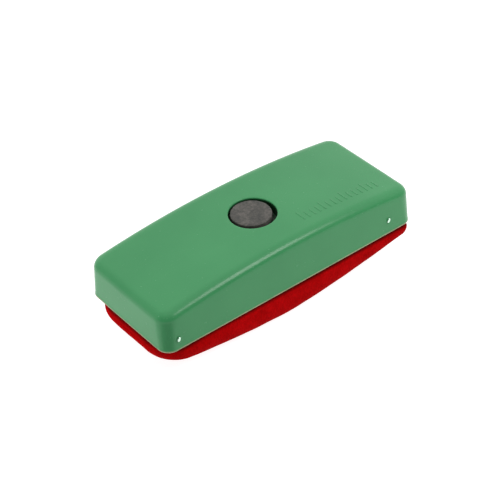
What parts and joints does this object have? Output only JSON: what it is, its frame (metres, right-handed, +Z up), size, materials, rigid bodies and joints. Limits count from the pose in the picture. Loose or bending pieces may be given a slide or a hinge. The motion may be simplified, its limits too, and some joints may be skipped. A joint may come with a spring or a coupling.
{
  "type": "chalkboard eraser",
  "caption": "Hand eraser with an arched plastic cover, a recessed disc magnet in the top and a rocker-shaped felt pad below.",
  "frame": {"origin": "middle of the face that the eraser rests on, under the middle of its overall box", "axes": "+X along the eraser's length, +Y across it, +Z up from the felt to the arched top"},
  "size_m": [0.15, 0.0618, 0.0444],
  "materials": {
    "green_plastic": "satin injection-moulded polystyrene",
    "ferrite": "unpolished sintered ferrite",
    "glue": "set contact glue",
    "fibreboard": "raw fibreboard",
    "foam": "open-cell polyurethane foam",
    "red_felt": "pressed wool felt",
    "pin_steel": "plated brad heads",
    "staple_steel": "galvanised wire"
  },
  "bodies": {
    "root": {"shell": "green_plastic", "magnet": "ferrite", "magnet_adhesive": "glue", "carrier_board": "fibreboard", "foam_core": "foam", "felt_cover": "red_felt", "side_pins": "pin_steel", "staples": "staple_steel"}
  },
  "joints": []
}
